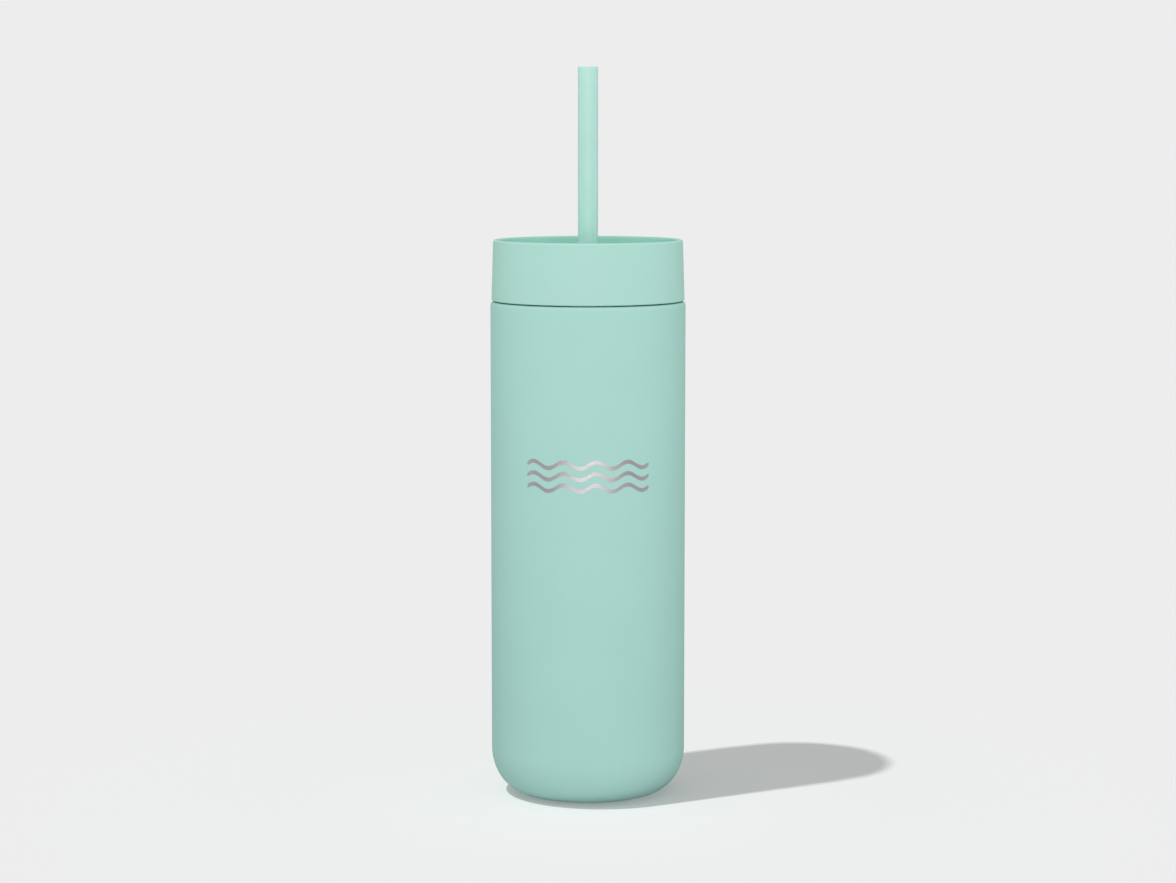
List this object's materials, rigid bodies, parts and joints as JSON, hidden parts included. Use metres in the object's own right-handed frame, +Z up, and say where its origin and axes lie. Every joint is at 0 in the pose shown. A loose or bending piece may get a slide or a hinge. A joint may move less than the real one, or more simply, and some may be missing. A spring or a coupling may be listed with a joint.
{
  "type": "insulated travel mug",
  "caption": "Slim double-walled insulated tumbler with a screw-on sunken-deck lid and a straight straw held in a soft grommet.",
  "frame": {"origin": "centre of the foot ring's underside, where the tumbler stands", "axes": "+Z up along the tumbler's axis towards the straw; +X through the getter side of the base, across from the lid's vent hole"},
  "size_m": [0.073, 0.073, 0.273],
  "materials": {
    "powder_coat": "matt mint-green powder coat on stainless steel, very fine orange peel",
    "liner_steel": "electropolished stainless steel, satin inside",
    "copper_foil": "thin bright copper foil, lightly crinkled",
    "base_steel": "spun and brushed stainless steel",
    "solder_glass": "dark glossy solder-glass bead",
    "getter": "dark grey pressed powder",
    "foot_silicone": "matt mint silicone",
    "clear_silicone": "milky translucent silicone",
    "lid_plastic": "satin moulded polypropylene in mint",
    "insert_plastic": "satin moulded polypropylene in mint, inside piece",
    "grommet_silicone": "soft matt mint silicone",
    "straw_plastic": "translucent tinted copolyester, glossy"
  },
  "bodies": {
    "cup": {"outer_shell": "powder_coat", "inner_liner": "liner_steel", "radiation_foil": "copper_foil", "base_plate": "base_steel", "port_bead": "solder_glass", "getter_pill": "getter", "getter_strap": "base_steel", "base_cover": "base_steel", "foot_ring": "foot_silicone"},
    "gasket": {"lid_gasket": "clear_silicone"},
    "lid": {"lid_shell": "lid_plastic", "lid_insert": "insert_plastic", "straw_grommet": "grommet_silicone"},
    "straw": {"straw_tube": "straw_plastic", "straw_stopper": "straw_plastic"}
  },
  "joints": [
    {"name": "lid_rise", "type": "slide", "parent": "cup", "child": "gasket", "axis": [0, 0, 1], "range_m": [0, 0.0136]},
    {"name": "lid_turn", "type": "hinge", "parent": "gasket", "child": "lid", "pos_m": [0, 0, 0.1972], "axis": [0, 0, 1], "range_deg": [0, 540]},
    {"name": "straw_pull", "type": "slide", "parent": "lid", "child": "straw", "axis": [0, 0, 1], "range_m": [0, 0.175]}
  ],
  "couplings": [
    {"joint": "lid_rise", "follows": "lid_turn", "m_per_rad": 0.0014324}
  ]
}
